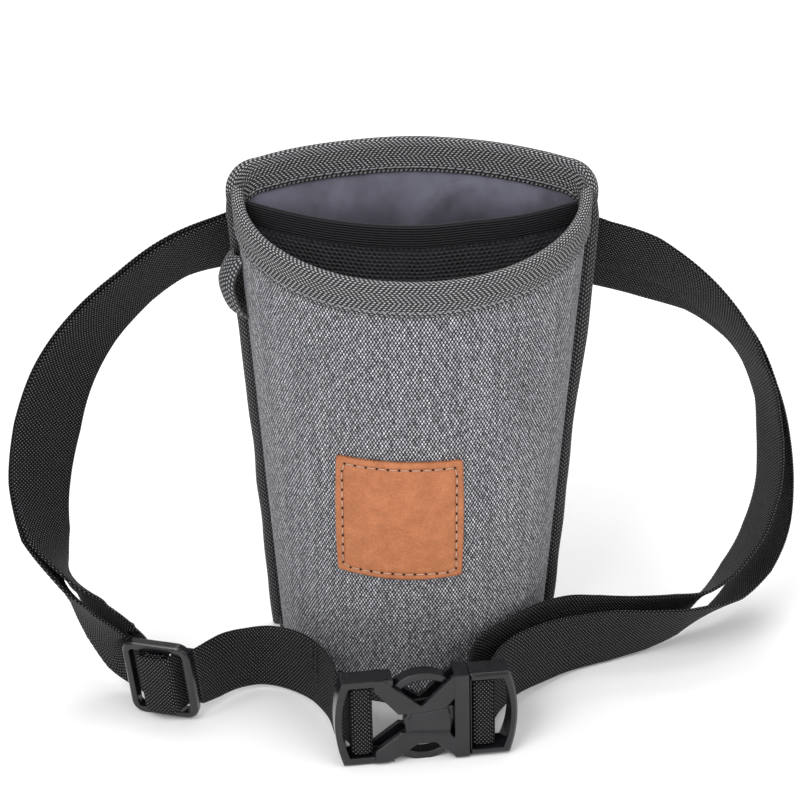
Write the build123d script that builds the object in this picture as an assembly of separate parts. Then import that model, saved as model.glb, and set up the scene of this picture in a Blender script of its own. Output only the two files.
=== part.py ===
"""Waist-worn treat pouch: a tapered fabric pouch on an adjustable webbing belt.

Millimetres, +Z up. The origin is on the underside of the base, midway between the two side seams.
+X is the right-hand side as seen from the front, -Y is the bulging front, and the flat back is at +Y.
"""

from build123d import *
from math import cos, radians, sin
import os

# Driving dimensions of the pouch body.
RIM_Z = 173.0            # height of the mouth at the side seams
BASE_HALF = 46.0         # half width between the side seams at the base
MOUTH_HALF = 58.0        # half width between the side seams at RIM_Z
FRONT_BASE = 47.0        # how far the front bulges at the base
FRONT_MOUTH = 50.0       # how far the front bulges at the mouth
BACK_BASE = 5.0          # how far the back bows out at the base
BACK_MOUTH = 12.0        # how far the back bows out at the mouth
FRONT_DIP = 9.0          # drop of the front rim from the corners to its middle
BACK_CORNER_Z = 180.5    # height of the back rim just inside its rounded corners
BACK_CROWN_Z = 185.5     # height of the back rim at its middle
BACK_CORNER_X = 49.0     # where the back rim starts to round down to the seams

PANEL = 1.6              # outer fabric with its foam interlining
LINING = 0.5
GAP = 0.15               # clearance between neighbouring layers
TAPE = 0.8               # binding tape thickness
TAPE_WIDTH = 10.5        # how far the rim tape covers each face
SEAM_WIDTH = 3.6         # width of the bound side seams
SEAM_THICK = 3.0
PATCH_X, PATCH_Z = -4.0, 76.0
PATCH_WIDE, PATCH_TALL = 41.0, 46.0
PATCH_THICK = 1.4
STITCH_INSET = 2.5       # from the patch's edge to its row of stitches
STITCH = 2.6
THREAD = 0.6
DIVIDER_LOW = 55.0
DIVIDER_END_Y = -1.2     # where the divider meets the side seams
DIVIDER_CLEAR = 1.4
ELASTIC_TOP = 168.0
ELASTIC_TALL = 8.0
TAB_Y = -7.2             # middle of the side tab, in front of the seam
TAB_WIDTH = 10.0
SLEEVE_LOW, SLEEVE_TALL = 126.0, 45.0
SLEEVE_NEAR, SLEEVE_FAR = 19.6, 21.0
SLEEVE_HALF = 39.0
SLEEVE_BOW = 1.2
SLEEVE_HEM = 4.0         # sewn strip along the sleeve's top and bottom
BASE_TAPE_TALL = 5.0
LINING_OUT = PANEL + GAP             # from the outer face in to the lining
LINING_IN = LINING_OUT + LINING
FLOOR = 2.0              # height of the walls' lower edges above the ground
TALL = 200.0             # above everything, for cutting

# Driving dimensions of the belt and its hardware.
WEB_WIDTH = 25.0
WEB = 1.3                # webbing thickness
BUCKLE_ORIGIN = (4.6, -74.5, 0.3)    # under the middle of the closed buckle
BUCKLE_YAW = 8.0
BUCKLE_BACK = 7.0        # the buckle leans back
BUCKLE_HALF = 30.5       # half of the closed buckle's length
BUCKLE_HEIGHT = 31.0
BUCKLE_DEPTH = 9.5
BUCKLE_BOW = 2.6         # how far its ends bow out
BUCKLE_WALL = 2.2
BAR_DEPTH = 2.8          # of the bars that the webbing is folded round
FACE_PLATE = 1.9         # thickness of the socket's front and back faces
PARTING = 14.2           # where the plug's frame meets the socket's mouth
LATCH_PROUD = 0.8        # how far the latch arms stand out past the frame
LATCH_THICK = 2.6
BEVEL_ANGLE = 42.0       # of the moulded edges, from the direction they are pulled in
SLIDER_ORIGIN = (-83.3, -53.0, 0.5)
SLIDER_YAW = -16.0
SLIDER_BACK = -7.0       # the slider leans forward
SLIDER_ROLL = 3.0
SLIDER_HALF = 12.0
SLIDER_HEIGHT = 32.0
SLIDER_DEPTH = 3.6

# Belt routes: the centre of the webbing, and the direction in which its top edge points.
LEFT_OUTER = [
    ((-0.6, 17.6, 150), (0, 0, 1)),
    ((-34, 15.6, 151), (0, -0.05, 1)),
    ((-50, 12.8, 151), (0, -0.2, 1)),
    ((-64, 9.4, 150), (0, -0.42, 0.9)),
    ((-79, 5.5, 146), (-0.15, -0.55, 0.8)),
    ((-93, 1, 137), (-0.25, -0.6, 0.75)),
    ((-107, -4, 124), (-0.4, -0.55, 0.75)),
    ((-117, -9, 109), (-0.55, -0.45, 0.7)),
    ((-123, -15, 92), (-0.7, -0.4, 0.6)),
    ((-126, -23, 74), (-0.65, -0.5, 0.55)),
    ((-124, -33, 59), (-0.5, -0.6, 0.6)),
    ((-118.5, -40.5, 47.5), (-0.1, -0.7, 0.7)),
    ((-111.5, -42, 36.5), (0, -0.6, 0.8)),
    ((-105.5, -42.8, 27.5), (0, -0.4, 0.9)),
    ((-100.6, -43.6, 20), (0, -0.2, 0.98)),
    ((-96.3, -44.5, 16.4), (-0.08, -0.1, 1)),
]
LEFT_GAPS = [2.0] * 10 + [2.4, 3.2, 4.4, 4.8, 4.8, 4.6]
RIGHT_OUTER = [
    ((0.6, 17.6, 147), (0, 0, 1)),
    ((34, 16.4, 144), (0, -0.05, 1)),
    ((50, 15.8, 141), (0, -0.2, 1)),
    ((64, 17.0, 136.5), (0, -0.42, 0.9)),
    ((81, 15.8, 131), (0.02, -0.5, 0.85)),
    ((98, 15.0, 123), (0.05, -0.65, 0.75)),
    ((111, 14.6, 111), (0.05, -0.7, 0.7)),
    ((120, 15, 95), (0.1, -0.8, 0.6)),
    ((126.5, 16.5, 74), (0.2, -0.85, 0.5)),
    ((129.5, 15.5, 52), (0.25, -0.8, 0.5)),
    ((128.5, 11, 34), (0.3, -0.85, 0.45)),
    ((121.5, 3, 21.5), (0.4, -0.8, 0.5)),
    ((111, -7.5, 14.5), (0.3, -0.75, 0.6)),
    ((97, -17, 12.9), (0.1, -0.6, 0.8)),
    ((84, -22.5, 12.9), (0, -0.4, 0.9)),
    ((70, -26, 13.1), (0, -0.2, 1)),
    ((56, -31, 13.4), (0, -0.1, 1)),
    ((45.5, -38, 14.5), (0, 0, 1)),
    ((36, -46, 15.5), (0, 0.05, 1)),
    ((30, -53.5, 15.2), (0, 0.1, 1)),
    ((26.5, -60.0, 14.6), (0, 0.12, 1)),
]
RIGHT_INNER = [
    ((0.6, 15.4, 150), (0, 0, 1)),
    ((34, 13.6, 150.5), (0, -0.05, 1)),
    ((50, 11.4, 150), (0, -0.2, 1)),
    ((64, 8.6, 148.5), (0, -0.42, 0.9)),
    ((78, 6.5, 144.5), (0.05, -0.45, 0.9)),
    ((93, 5, 135.5), (0.2, -0.65, 0.7)),
    ((106, 5, 122), (0.1, -0.75, 0.65)),
    ((115, 6.5, 107), (0.1, -0.85, 0.5)),
    ((121.5, 8, 91), (0.1, -0.85, 0.5)),
    ((124.5, 8.5, 72), (0.2, -0.85, 0.5)),
    ((124.5, 6.5, 53), (0.2, -0.8, 0.55)),
    ((120, 2, 37.5), (0.25, -0.8, 0.55)),
    ((112, -4, 26.5), (0.2, -0.8, 0.55)),
    ((103, -9, 19), (0.1, -0.75, 0.65)),
    ((92, -13, 15), (0, -0.5, 0.85)),
    ((78, -17, 14), (0, -0.3, 0.95)),
    ((64, -20, 14.3), (0, -0.1, 1)),
    ((53, -24, 16), (0, 0, 1)),
    ((42.5, -31, 17.5), (0, 0, 1)),
    ((32.5, -39.5, 17.5), (0, 0, 1)),
    ((24, -47.5, 17), (0, 0, 1)),
    ((20, -54.5, 15.6), (0, 0.06, 1)),
    ((18.6, -61.1, 14.6), (0, 0.12, 1)),
]
OUTER_LEAD, INNER_LEAD = 12, 13      # the right-hand runs follow the plug from these stations on
BUCKLE_LEAD = [
    ((-70.6, -54.6, 17.2), (-0.08, -0.1, 1)),
    ((-65, -47, 16), (-0.05, 0, 1)),
    ((-58, -41.5, 14.8), (0.05, 0, 1)),
    ((-50, -39, 14.2), (0.1, 0, 1)),
    ((-41, -42, 14.4), (0.1, 0, 1)),
    ((-33.5, -49, 15.2), (0.05, 0, 1)),
    ((-27.8, -58.5, 15), (0, 0.06, 1)),
    ((-25.4, -66.2, 14.5), (0, 0.12, 1)),
]


def save(shape, node):
    """Write one node as a STEP file."""
    export_step(shape, f"parts/{node}.step")


def at_height(base, mouth, z):
    """A dimension that runs straight from its value at the base to its value at the mouth."""
    return base + (mouth - base) * z / RIM_Z


def half_width(z):
    return at_height(BASE_HALF, MOUTH_HALF, z)


def bulge(side, z):
    """Depth of the front (side -1) or the back (side +1) from the seam plane."""
    if side < 0:
        return at_height(FRONT_BASE, FRONT_MOUTH, z)
    return at_height(BACK_BASE, BACK_MOUTH, z)


def section(side, z, outer, inner):
    """Half-elliptical strip of wall at height z, between two depths inside the outer face."""
    centre = (0, side * GAP)
    start = 0 if side > 0 else 180
    arcs = []
    for depth in (outer, inner):
        width = half_width(z) - depth
        reach = bulge(side, z) - depth
        arcs.append(EllipticalCenterArc(centre, width, reach, start_angle=start, arc_size=180))
    lines = [Line(arcs[0] @ 0, arcs[1] @ 0), Line(arcs[0] @ 1, arcs[1] @ 1)]
    return Pos(0, 0, z) * make_face([*arcs, *lines])


def wall(side, outer, inner, low=FLOOR, high=TALL):
    """Wall of the pouch between two depths inside its outer face."""
    return loft([section(side, low, outer, inner), section(side, high, outer, inner)], ruled=True)


def solid_half(side, depth, low, high):
    """The whole of one half of the pouch, filled from the seam plane to a depth inside its outer face."""
    faces = []
    for z in (low, high):
        start = 0 if side > 0 else 180
        arc = EllipticalCenterArc((0, 0), half_width(z) - depth, bulge(side, z) - depth, start_angle=start,
                                  arc_size=180)
        faces.append(Pos(0, 0, z) * make_face([arc, Line(arc @ 1, arc @ 0)]))
    return loft(faces, ruled=True)


def below_front_rim(lift=0.0):
    """Everything under the front rim, whose plane tips down towards the middle of the front."""
    reach = FRONT_BASE + 10
    slope = FRONT_DIP / FRONT_MOUTH
    outline = Polyline((5, -5), (5, RIM_Z + 5 * slope + lift), (-reach, RIM_Z - reach * slope + lift),
                       (-reach, -5), close=True)
    return extrude(Plane.YZ * make_face(outline), MOUTH_HALF + 10, both=True)


def below_back_rim(lift=0.0):
    """Everything under the crowned back rim with its rounded corners."""
    side = MOUTH_HALF + 6
    seam = (MOUTH_HALF + 1.5 + lift, RIM_Z - 2)
    corner = (BACK_CORNER_X + lift, BACK_CORNER_Z + lift)
    crown = ThreePointArc((-corner[0], corner[1]), (0, BACK_CROWN_Z + lift), corner)
    turn = 0.75
    shoulder = (corner[0] + turn * (seam[0] - corner[0]), corner[1] - (1 - turn) * (corner[1] - seam[1]))
    right = ThreePointArc(corner, shoulder, seam)
    left = ThreePointArc((-corner[0], corner[1]), (-shoulder[0], shoulder[1]), (-seam[0], seam[1]))
    skirt = Polyline(seam, (side, seam[1]), (side, -5), (-side, -5), (-side, seam[1]), (-seam[0], seam[1]))
    return extrude(Plane.XZ * make_face([crown, right, left, skirt]), BACK_MOUTH + 30, both=True)


def rim_tape(side, below, edge):
    """Tape folded over a rim: it covers both faces of the wall down to the given lower edge."""
    around = wall(side, -TAPE - GAP, LINING_IN + TAPE + GAP, RIM_Z - 40) & below(TAPE + GAP)
    core = wall(side, -GAP, LINING_IN + GAP, RIM_Z - 45) & below(GAP)
    return around - edge - core


def run_and_face(stations, i):
    """Direction of the webbing's run at a station, and of the face that looks into the belt's loop."""
    ahead = Vector(*stations[min(i + 1, len(stations) - 1)][0])
    behind = Vector(*stations[max(i - 1, 0)][0])
    run = (ahead - behind).normalized()
    face = Vector(*stations[i][1]).cross(run).normalized()
    return run, face


def curved_web(stations, first=0, last=None):
    """Webbing through part of a route, square to its run except at the ends, which follow their lean."""
    loops = []
    for i in range(first, len(stations) if last is None else last + 1):
        run, face = run_and_face(stations, i)
        centre = Vector(*stations[i][0])
        at_end = i in (0, len(stations) - 1)
        up = Vector(*stations[i][1]) if at_end else run.cross(face)
        up = up.normalized() * (WEB_WIDTH / 2)
        out = face * (WEB / 2)
        corners = [centre + up + out, centre - up + out, centre - up - out, centre + up - out]
        loops.append(Wire.make_polygon(corners, close=True))
    return Solid.make_loft(loops, ruled=True)


def second_layer(stations, gaps):
    """A layer of webbing inside another one, at its own distance from each station."""
    moved = []
    for i, (centre, lean) in enumerate(stations):
        _, face = run_and_face(stations, i)
        moved.append((tuple(Vector(*centre) + face * gaps[i]), lean))
    return moved


def hardware_plane(origin, yaw, back, roll=0.0):
    """Local frame of a buckle or slider: X along the belt, Y up and Z out of its front."""
    return Plane(Location(origin) * Rot(Z=yaw) * Rot(X=90 - back) * Rot(Z=roll))


def strip_outline(points, half):
    """Closed outline at an even distance on both sides of a polyline."""
    rows = ([], [])
    for i, point in enumerate(points):
        after = points[i + 1] - point if i < len(points) - 1 else point - points[i - 1]
        before = point - points[i - 1] if i else after
        normal_before = Vector(-before.Y, before.X).normalized()
        normal_after = Vector(-after.Y, after.X).normalized()
        mitre = (normal_before + normal_after).normalized()
        reach = half / mitre.dot(normal_before)
        rows[0].append(point + mitre * reach)
        rows[1].append(point - mitre * reach)
    return Polyline(*[(p.X, p.Y) for p in rows[0] + rows[1][::-1]], close=True)


def folded_web(hardware, points, height):
    """Webbing folded round a bar, from points seen from above in the hardware's own frame.

    Each point is the distance along the belt and the distance behind the hardware's middle.
    """
    low = hardware.from_local_coords(Vector(0, (height - WEB_WIDTH) / 2, 0))
    above = Plane(origin=low, x_dir=hardware.x_dir, z_dir=hardware.y_dir)
    outline = strip_outline([Vector(*p) for p in points], WEB / 2)
    return extrude(above * make_face(outline), WEB_WIDTH)


def slab(x_low, x_high, y_low, y_high, depth):
    """Box of the given depth, centred on the hardware's middle plane."""
    centre = ((x_low + x_high) / 2, (y_low + y_high) / 2, 0)
    return Pos(*centre) * Box(x_high - x_low, y_high - y_low, depth)


def bevelled(face, low, high, bevel, ends=(1, -1)):
    """Plate between two distances in front of the middle plane, bevelled at its front, its back or both."""
    core_low = low + bevel if -1 in ends else low
    core_high = high - bevel if 1 in ends else high
    body = Pos(0, 0, core_low) * extrude(face, core_high - core_low)
    if 1 in ends:
        body += Pos(0, 0, core_high) * extrude(face, bevel, taper=BEVEL_ANGLE)
    if -1 in ends:
        body += Pos(0, 0, core_low) * extrude(face, -bevel, taper=BEVEL_ANGLE)
    return body


def plate(points, low, high, end=None, bevel=0.5):
    """Flat plate with a polygon outline; end 1 bevels its front edge and end -1 its back edge."""
    face = make_face(Polyline(*points, close=True))
    return bevelled(face, low, high, bevel, (end,) if end else ())


def floor_plate(z, thick, inset):
    """Level plate with the outline of the pouch, set in from its outer face."""
    return solid_half(-1, inset, z, z + thick) + solid_half(1, inset, z, z + thick)


def seam_strip(hand, low, high, start):
    """Length of side binding between two heights, standing off the seam by the given start."""
    faces = []
    for z in (low, high):
        inner = hand * (half_width(z) + start)
        outer = hand * (half_width(z) + SEAM_WIDTH)
        middle = Pos((inner + outer) / 2, 0, z)
        faces.append(middle * Rectangle(abs(outer - inner), SEAM_THICK))
    return loft(faces, ruled=True)


def divider(low, high, thick, front=0.0):
    """Curtain across the pouch that bows forward, more so towards its top."""
    faces = []
    for z in (low, high):
        reach = half_width(z) - LINING_IN - DIVIDER_CLEAR
        bow = DIVIDER_END_Y - at_height(1.8, 8.8, z)
        near_y, far_y = DIVIDER_END_Y - front, DIVIDER_END_Y - front - thick
        line = ThreePointArc((-reach, near_y), (0, bow - front), (reach, near_y))
        back = ThreePointArc((reach, far_y), (0, bow - front - thick), (-reach, far_y))
        outline = make_face([line, back, Line(line @ 1, back @ 0), Line(back @ 1, line @ 0)])
        faces.append(Pos(0, 0, z) * outline)
    return loft(faces, ruled=True)


def sleeve_band(low, height, near, far):
    """Band across the back between two distances behind the seam plane."""
    arcs = []
    for y, side in ((near, 1), (far, -1)):
        ends = [(-side * SLEEVE_HALF, y - SLEEVE_BOW), (side * SLEEVE_HALF, y - SLEEVE_BOW)]
        arcs.append(ThreePointArc(ends[0], (0, y), ends[1]))
    lines = [Line(arcs[0] @ 1, arcs[1] @ 0), Line(arcs[1] @ 1, arcs[0] @ 0)]
    return Pos(0, 0, low) * extrude(make_face([*arcs, *lines]), height)


def walls():
    """Front and back: outer fabric with its foam, and the lining inside it."""
    for name, side, below in (("front", -1, below_front_rim), ("back", 1, below_back_rim)):
        save(wall(side, 0, PANEL) & below(), f"{name}_panel")
        save(wall(side, LINING_OUT, LINING_IN) & below(), f"{name}_lining")
        edge = Pos(0, 0, -TAPE_WIDTH) * below()
        save(rim_tape(side, below, edge), f"{name}_rim_binding")


def base():
    """D-shaped base panel under both walls, its stiffening board and the tape round its front edge."""
    save(floor_plate(0, FLOOR - GAP, 0), "base_panel")
    save(floor_plate(FLOOR + 0.2, 1.6, LINING_IN + 0.55), "base_board")
    edge = floor_plate(0, BASE_TAPE_TALL, -1.1) - floor_plate(-1, BASE_TAPE_TALL + 2, -0.3)
    seams = Box(2 * TALL, 2 * SEAM_THICK, TALL)
    back = Pos(0, TALL / 2, 0) * Box(2 * TALL, TALL, TALL)
    save(edge - seams - back, "base_binding")


def side_bindings():
    """Bound seams down both sides, thinner where the rim tape covers them."""
    under_tape = RIM_Z - TAPE_WIDTH - 5
    for name, hand in (("left", -1), ("right", 1)):
        lower = seam_strip(hand, 0, under_tape, 0.2)
        upper = seam_strip(hand, under_tape, RIM_Z - 1, TAPE + GAP + 0.2)
        save(lower + upper, f"side_binding_{name}")


def inside():
    """Mesh divider that makes the second pocket, and the elastic along its top."""
    elastic_low = ELASTIC_TOP - ELASTIC_TALL
    save(divider(DIVIDER_LOW, elastic_low - 0.2, 1.0), "mesh_divider")
    save(divider(elastic_low, ELASTIC_TOP, 1.6, -0.3), "divider_elastic")


def patch():
    """Leather patch on the bulging front, and the stitches near its edges."""
    reach = bulge(-1, PATCH_Z)
    patch_box = Pos(PATCH_X, -reach, PATCH_Z) * Box(PATCH_WIDE, 2 * reach, PATCH_TALL)
    save(wall(-1, -GAP - PATCH_THICK, -GAP) & patch_box, "leather_patch")
    side = PATCH_WIDE / 2 - STITCH_INSET
    rise = PATCH_TALL / 2 - STITCH_INSET
    under_thread = 2 * GAP + PATCH_THICK
    thread = wall(-1, -under_thread - THREAD, -under_thread)
    stitches = []
    for i in range(-4, 5):
        for hand in (-1, 1):
            across = Pos(PATCH_X + i * side / 4.5, -FRONT_MOUTH, PATCH_Z + hand * rise)
            along = Pos(PATCH_X + hand * side, -FRONT_MOUTH, PATCH_Z + i * rise / 4.5)
            stitches.append(thread & across * Box(STITCH, 20, THREAD))
            stitches.append(thread & along * Box(THREAD, 20, STITCH))
    save(Compound([one.solid() for one in stitches]), "patch_stitching")


def side_tab():
    """Loop of tape on the left seam. Each point is a distance out from the seam and a height."""
    points = [(1.5, 153), (3.8, 151), (7.0, 143), (5.2, 134), (1.5, 130.5)]
    route = [Vector(-half_width(z) - out, z) for out, z in points]
    loop = extrude(Plane.XZ * make_face(strip_outline(route, TAPE / 2)), TAB_WIDTH / 2, both=True)
    save(Pos(0, TAB_Y, 0) * loop, "side_tab")


def belt_sleeve():
    """Band across the back, sewn above and below the belt and open at both sides."""
    sleeve = sleeve_band(SLEEVE_LOW, SLEEVE_TALL, SLEEVE_NEAR, SLEEVE_FAR)
    for low in (SLEEVE_LOW, SLEEVE_LOW + SLEEVE_TALL - SLEEVE_HEM):
        sleeve += sleeve_band(low, SLEEVE_HEM, SLEEVE_NEAR - 13, SLEEVE_FAR)
    in_front = Pos(0, -TALL / 2, 0) * Box(2 * TALL, TALL, 2 * TALL)
    save(sleeve - solid_half(1, -0.3, -5, TALL) - in_front, "belt_sleeve")


def pouch():
    """The sewn pouch."""
    walls()
    base()
    side_bindings()
    inside()
    patch()
    side_tab()
    belt_sleeve()


def belt():
    """One length of webbing, kept as separate runs so that each run can follow its own hardware."""
    save(curved_web(LEFT_OUTER), "belt_left_outer")
    save(curved_web(second_layer(LEFT_OUTER, LEFT_GAPS)), "belt_left_inner")
    for name, route, lead in (("outer", RIGHT_OUTER, OUTER_LEAD), ("inner", RIGHT_INNER, INNER_LEAD)):
        save(curved_web(route, last=lead), f"belt_right_{name}")
        save(curved_web(route, first=lead), f"belt_right_{name}_lead")
    save(curved_web(BUCKLE_LEAD), "belt_buckle_lead")


def bowed_end(sign, inset, inner, depth, bevel=0.0):
    """One end of the buckle: a block whose outer side bows out, from the given inner edge."""
    low, high = inset, BUCKLE_HEIGHT - inset
    far = sign * (BUCKLE_HALF - inset)
    shoulder = far - sign * BUCKLE_BOW
    bow = ThreePointArc((shoulder, low), (far, BUCKLE_HEIGHT / 2), (shoulder, high))
    sides = Polyline((shoulder, high), (inner, high), (inner, low), (shoulder, low))
    return bevelled(make_face([bow, sides]), -depth / 2, depth / 2, bevel, (1, -1) if bevel else ())


def buckle_socket(cavity):
    """Ladder frame, mouth, X-shaped front and back faces, and a plain raised plate on the front."""
    tall, half = BUCKLE_HEIGHT, BUCKLE_DEPTH / 2
    low, high = BUCKLE_WALL, tall - BUCKLE_WALL
    socket = bowed_end(-1, 0, -11, BUCKLE_DEPTH, 0.9) - bowed_end(-1, BUCKLE_WALL, -10, 2 * BUCKLE_DEPTH)
    socket += slab(-23.5, -19.5, 1, tall - 1, BAR_DEPTH)
    socket += slab(9.4, PARTING, 0, tall, BUCKLE_DEPTH)
    socket -= slab(9, PARTING + 1, low, high, 2 * cavity)
    upper = [(-17.4, tall), (-14.2, tall), (-1.7, 20.2), (9.4, tall), (12, tall), (12, 25), (7.5, 20.2),
             (6.2, 19), (-5.2, 17.6), (-9.5, 18), (-17.4, 27.5)]
    lower = [(-17.4, 0), (-13, 0), (-9.5, 1.6), (-2.9, 6.2), (2.8, 6.2), (9.4, 0), (12, 0), (12, 4.5),
             (7.8, 9.4), (-8.7, 11), (-17.4, 4.5)]
    for outline in (upper, lower):
        socket += plate(outline, cavity, half, end=1)
        socket += plate(outline, -half, -cavity, end=-1)
    waist = [(-6.8, 10), (-7.4, 15), (-6.2, 18.5), (6.8, 20), (8.4, 15), (7.8, 8.8)]
    tag = [(-4.9, 11.3), (-6.3, 15.2), (-5.0, 17.4), (6.9, 18.8), (7.3, 16.6), (8.0, 12.6), (7.8, 10.2)]
    socket += plate(waist, cavity, half - 0.7) + plate(waist, -half, 0.7 - cavity)
    return socket + plate(tag, half - 0.9, half - 0.1, end=1, bevel=0.3)


def buckle_plug(cavity):
    """Ladder frame, a cross wall inside the mouth and a guide tongue."""
    low, high = BUCKLE_WALL, BUCKLE_HEIGHT - BUCKLE_WALL
    plug = bowed_end(1, 0, PARTING + 0.3, BUCKLE_DEPTH, 0.9)
    plug -= bowed_end(1, BUCKLE_WALL, 15.0, 2 * BUCKLE_DEPTH)
    plug += slab(17.4, 21.2, 1, BUCKLE_HEIGHT - 1, BAR_DEPTH)
    plug += slab(11.8, 15.0, low + 0.6, high - 0.6, 2 * cavity - 0.8)
    return plug + slab(-7.5, 12.4, 12.6, 18.4, 2 * cavity - 2.2)


def latch_arm(sign, cavity):
    """Bowed spring whose shoulder stands out past the frame; sign -1 mirrors it to the lower side."""
    middle = BUCKLE_HEIGHT / 2
    crest = BUCKLE_HEIGHT + LATCH_PROUD
    outer = ThreePointArc((8.4, 27.9), (-1.0, crest), (-10.4, 27.9))
    inner = ThreePointArc((-9.2, 25.6), (-1.0, crest - LATCH_THICK), (8.4, 25.2))
    root = Polyline((8.4, 25.2), (11.4, 25.2), (11.4, 27.9), (8.4, 27.9))
    face = make_face([outer, Line((-10.4, 27.9), (-9.2, 25.6)), inner, root])
    arm = Pos(0, 0, 0.4 - cavity) * extrude(face, 2 * cavity - 0.8)
    if sign > 0:
        return arm
    return Pos(0, middle, 0) * mirror(Pos(0, -middle, 0) * arm, about=Plane.XZ)


def buckle():
    """Side-release buckle with the webbing folded round its two bars."""
    place = hardware_plane(BUCKLE_ORIGIN, BUCKLE_YAW, BUCKLE_BACK)
    cavity = BUCKLE_DEPTH / 2 - FACE_PLATE
    save(place.location * buckle_socket(cavity), "buckle_socket")
    save(place.location * buckle_plug(cavity), "buckle_plug")
    save(place.location * latch_arm(1, cavity), "latch_arm_upper")
    save(place.location * latch_arm(-1, cavity), "latch_arm_lower")

    plug_fold = [(23.8, 9), (23.0, 4), (22.6, -1.4), (21.4, -2.6), (17.2, -2.6), (16.0, -1.4), (16.0, 4),
                 (15.8, 9)]
    save(folded_web(place, plug_fold, BUCKLE_HEIGHT), "belt_plug_fold")
    socket_fold = [(-28.6, 10.0), (-26.4, 7.4), (-24.7, 4.0), (-24.5, -1.2), (-23.6, -2.6), (-19.4, -2.6),
                   (-18.5, -1.2), (-18.5, 2.2), (-20.9, 5.2), (-24.4, 8.2), (-26.9, 11.2)]
    save(folded_web(place, socket_fold, BUCKLE_HEIGHT), "belt_socket_fold")


def slider():
    """Tri-glide slider: a rounded frame with a centre bar and the webbing folded over that bar."""
    place = hardware_plane(SLIDER_ORIGIN, SLIDER_YAW, SLIDER_BACK, SLIDER_ROLL)
    middle = Pos(0, SLIDER_HEIGHT / 2)
    outline = middle * RectangleRounded(2 * SLIDER_HALF, SLIDER_HEIGHT, 4.5)
    window = middle * RectangleRounded(2 * SLIDER_HALF - 5, SLIDER_HEIGHT - 5.2, 1.8)
    half = SLIDER_DEPTH / 2
    frame = bevelled(outline, -half, half, 0.7) - extrude(window, half, both=True)
    frame += slab(-2.0, 2.0, 1.5, SLIDER_HEIGHT - 1.5, 2.6)
    save(place.location * frame, "slider_frame")

    over = [(-13.5, 6.4), (-8.8, 3.6), (-6.0, -0.6), (-4.4, -3.9), (4.4, -3.9), (6.0, -0.6), (8.4, 2.8),
            (12.4, 3.2)]
    save(folded_web(place, over, SLIDER_HEIGHT), "belt_slider_fold")
    anchor = [(-13.5, 11.0), (-8.0, 7.0), (-3.6, 2.6), (-3.0, -1.0), (-2.4, -2.2), (2.4, -2.2), (3.0, -1.0),
              (3.0, 1.6), (2.2, 2.2), (-1.8, 2.3)]
    save(folded_web(place, anchor, SLIDER_HEIGHT), "belt_anchor_fold")


os.makedirs("parts", exist_ok=True)
pouch()
belt()
buckle()
slider()
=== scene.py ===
from math import atan2, cos, hypot, pi, radians, sin, sqrt

import bpy
from mathutils import Matrix, Vector, noise


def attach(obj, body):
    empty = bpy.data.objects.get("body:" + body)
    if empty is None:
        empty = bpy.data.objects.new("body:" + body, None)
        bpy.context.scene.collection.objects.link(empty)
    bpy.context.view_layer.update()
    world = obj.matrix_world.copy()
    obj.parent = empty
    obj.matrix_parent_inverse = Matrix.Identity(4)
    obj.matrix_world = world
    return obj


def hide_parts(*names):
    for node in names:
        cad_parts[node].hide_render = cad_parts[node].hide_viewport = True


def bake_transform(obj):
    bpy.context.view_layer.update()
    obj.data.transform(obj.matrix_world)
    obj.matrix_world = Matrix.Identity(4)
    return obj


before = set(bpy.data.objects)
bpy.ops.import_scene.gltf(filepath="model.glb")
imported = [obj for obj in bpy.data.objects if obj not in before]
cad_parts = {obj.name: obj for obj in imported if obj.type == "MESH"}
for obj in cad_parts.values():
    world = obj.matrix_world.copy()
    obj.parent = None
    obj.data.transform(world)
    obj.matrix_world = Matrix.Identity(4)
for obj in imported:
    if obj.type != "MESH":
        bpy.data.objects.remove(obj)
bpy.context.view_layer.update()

MM = 0.001
TINY = 1e-9

# The pouch's driving dimensions, in millimetres, as in the CAD.
RIM_Z = 173.0
BASE_HALF, MOUTH_HALF = 46.0, 58.0
FRONT_BASE, FRONT_MOUTH = 47.0, 50.0
BACK_BASE, BACK_MOUTH = 5.0, 12.0
FRONT_DIP = 9.0
BACK_CORNER_X, BACK_CORNER_Z, BACK_CROWN_Z = 49.0, 180.5, 185.5
PANEL, LINING, GAP, TAPE = 1.6, 0.5, 0.15, 0.8
TAPE_WIDTH = 10.5
SEAM_WIDTH, SEAM_THICK = 3.6, 3.0
PATCH_X, PATCH_Z, PATCH_WIDE, PATCH_TALL, PATCH_THICK = -4.0, 76.0, 41.0, 46.0, 1.4
DIVIDER_LOW, DIVIDER_END_Y = 55.0, -1.2
ELASTIC_TOP, ELASTIC_TALL = 168.0, 8.0
TAB_Y, TAB_WIDTH = -7.2, 10.0
TAB_CUP = 0.1            # the tab's edges curve back by this times the square of their distance
SLEEVE_LOW, SLEEVE_TALL = 126.0, 45.0
SLEEVE_NEAR, SLEEVE_FAR, SLEEVE_HALF, SLEEVE_BOW, SLEEVE_HEM = 19.6, 21.0, 39.0, 1.2, 4.0
FLOOR = 2.0              # height of the base, from which the walls rise
LINING_OUT = PANEL + GAP
LINING_IN = LINING_OUT + LINING
DIVIDER_CLEAR = 1.4

WEB_WIDTH, WEB = 25.0, 1.3
RIB = 1.25               # pitch of the ribs that run across the webbing
RIB_HEIGHT = 0.13        # of each rib above the webbing's base
SETTLE = 12.0            # a run turns upright over this distance, to meet its hardware square on
BUCKLE_ORIGIN, BUCKLE_TURN = (4.6, -74.5, 0.3), (8.0, 7.0, 0.0)
SLIDER_ORIGIN, SLIDER_TURN = (-83.3, -53.0, 0.5), (-16.0, -7.0, 3.0)
BUCKLE_HEIGHT, SLIDER_HEIGHT = 31.0, 32.0


# ---------------------------------------------------------------- camera and light

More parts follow.
